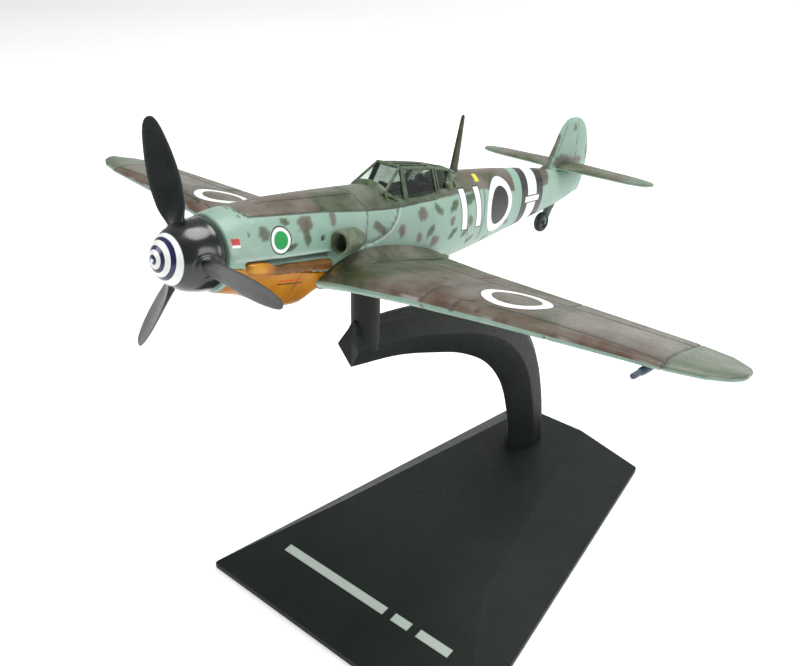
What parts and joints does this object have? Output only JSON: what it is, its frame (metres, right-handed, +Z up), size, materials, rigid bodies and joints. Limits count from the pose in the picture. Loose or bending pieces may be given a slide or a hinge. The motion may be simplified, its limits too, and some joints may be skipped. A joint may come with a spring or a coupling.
{
  "type": "propeller aircraft display model",
  "caption": "Small die-cast model of a low-wing propeller fighter, posed nose-up on a curved arm and faceted black base; the propeller turns and the aircraft lifts off its post",
  "frame": {"origin": "on the underside plane of the base, midway between the wing tips and midway between the spinner's tip and the rudder's rear edge", "axes": "+Z up; the nose points along -Y; +X towards the aircraft's left wing tip; the aircraft itself is tipped 8.95 degrees nose-up"},
  "size_m": [0.1392, 0.1221, 0.1064],
  "materials": {
    "base_plastic": "satin moulded plastic",
    "arm_plastic": "satin moulded plastic",
    "screw_steel": "plain steel",
    "fuselage_paint": "satin grey-turquoise paint with soft mottle",
    "wing_paint": "satin camouflage paint",
    "socket_plastic": "moulded plastic",
    "cowl_paint": "satin orange-yellow paint",
    "tailplane_paint": "satin camouflage paint",
    "leg_paint": "satin paint",
    "tyre_plastic": "matt plastic",
    "mast_paint": "matt green paint",
    "pitot_paint": "dark paint",
    "radiator_paint": "satin pale underside paint",
    "intake_paint": "satin green paint",
    "exhaust_paint": "brown-gold paint",
    "canopy_clear": "clear moulded plastic",
    "frame_paint": "satin green paint",
    "cockpit_plastic": "matt plastic",
    "seat_plastic": "matt plastic",
    "panel_plastic": "matt plastic",
    "stick_plastic": "matt plastic",
    "armour_plastic": "matt plastic",
    "bush_plastic": "moulded plastic",
    "shaft_steel": "plain steel",
    "blade_plastic": "dark green-black satin",
    "backplate_plastic": "gloss black",
    "spinner_paint": "gloss black with a white spiral"
  },
  "bodies": {
    "stand": {"base_shell": "base_plastic", "display_arm": "arm_plastic", "arm_screw": "screw_steel"},
    "aircraft": {"fuselage_left": "fuselage_paint", "fuselage_right": "fuselage_paint", "wing": "wing_paint", "stand_socket": "socket_plastic", "lower_cowl": "cowl_paint", "tailplane": "tailplane_paint", "tail_wheel_leg": "leg_paint", "tail_wheel": "tyre_plastic", "antenna_mast": "mast_paint", "pitot_tube": "pitot_paint", "wing_radiators": "radiator_paint", "supercharger_intake": "intake_paint", "exhaust_left": "exhaust_paint", "exhaust_right": "exhaust_paint", "canopy_glazing": "canopy_clear", "canopy_frame": "frame_paint", "cockpit_tub": "cockpit_plastic", "pilot_seat": "seat_plastic", "instrument_panel": "panel_plastic", "control_stick": "stick_plastic", "head_armour": "armour_plastic", "wing_screws": "screw_steel", "shaft_bush": "bush_plastic"},
    "propeller": {"prop_shaft": "shaft_steel", "propeller_blades": "blade_plastic", "spinner_backplate": "backplate_plastic", "spinner": "spinner_paint"}
  },
  "joints": [
    {"name": "lift_off", "type": "slide", "parent": "stand", "child": "aircraft", "axis": [0, 0, 1], "range_m": [0, 0.02]},
    {"name": "propeller_spin", "type": "hinge", "parent": "aircraft", "child": "propeller", "pos_m": [0, -0.05545, 0.0885], "axis": [0, -0.9878, 0.1556], "continuous": true}
  ]
}
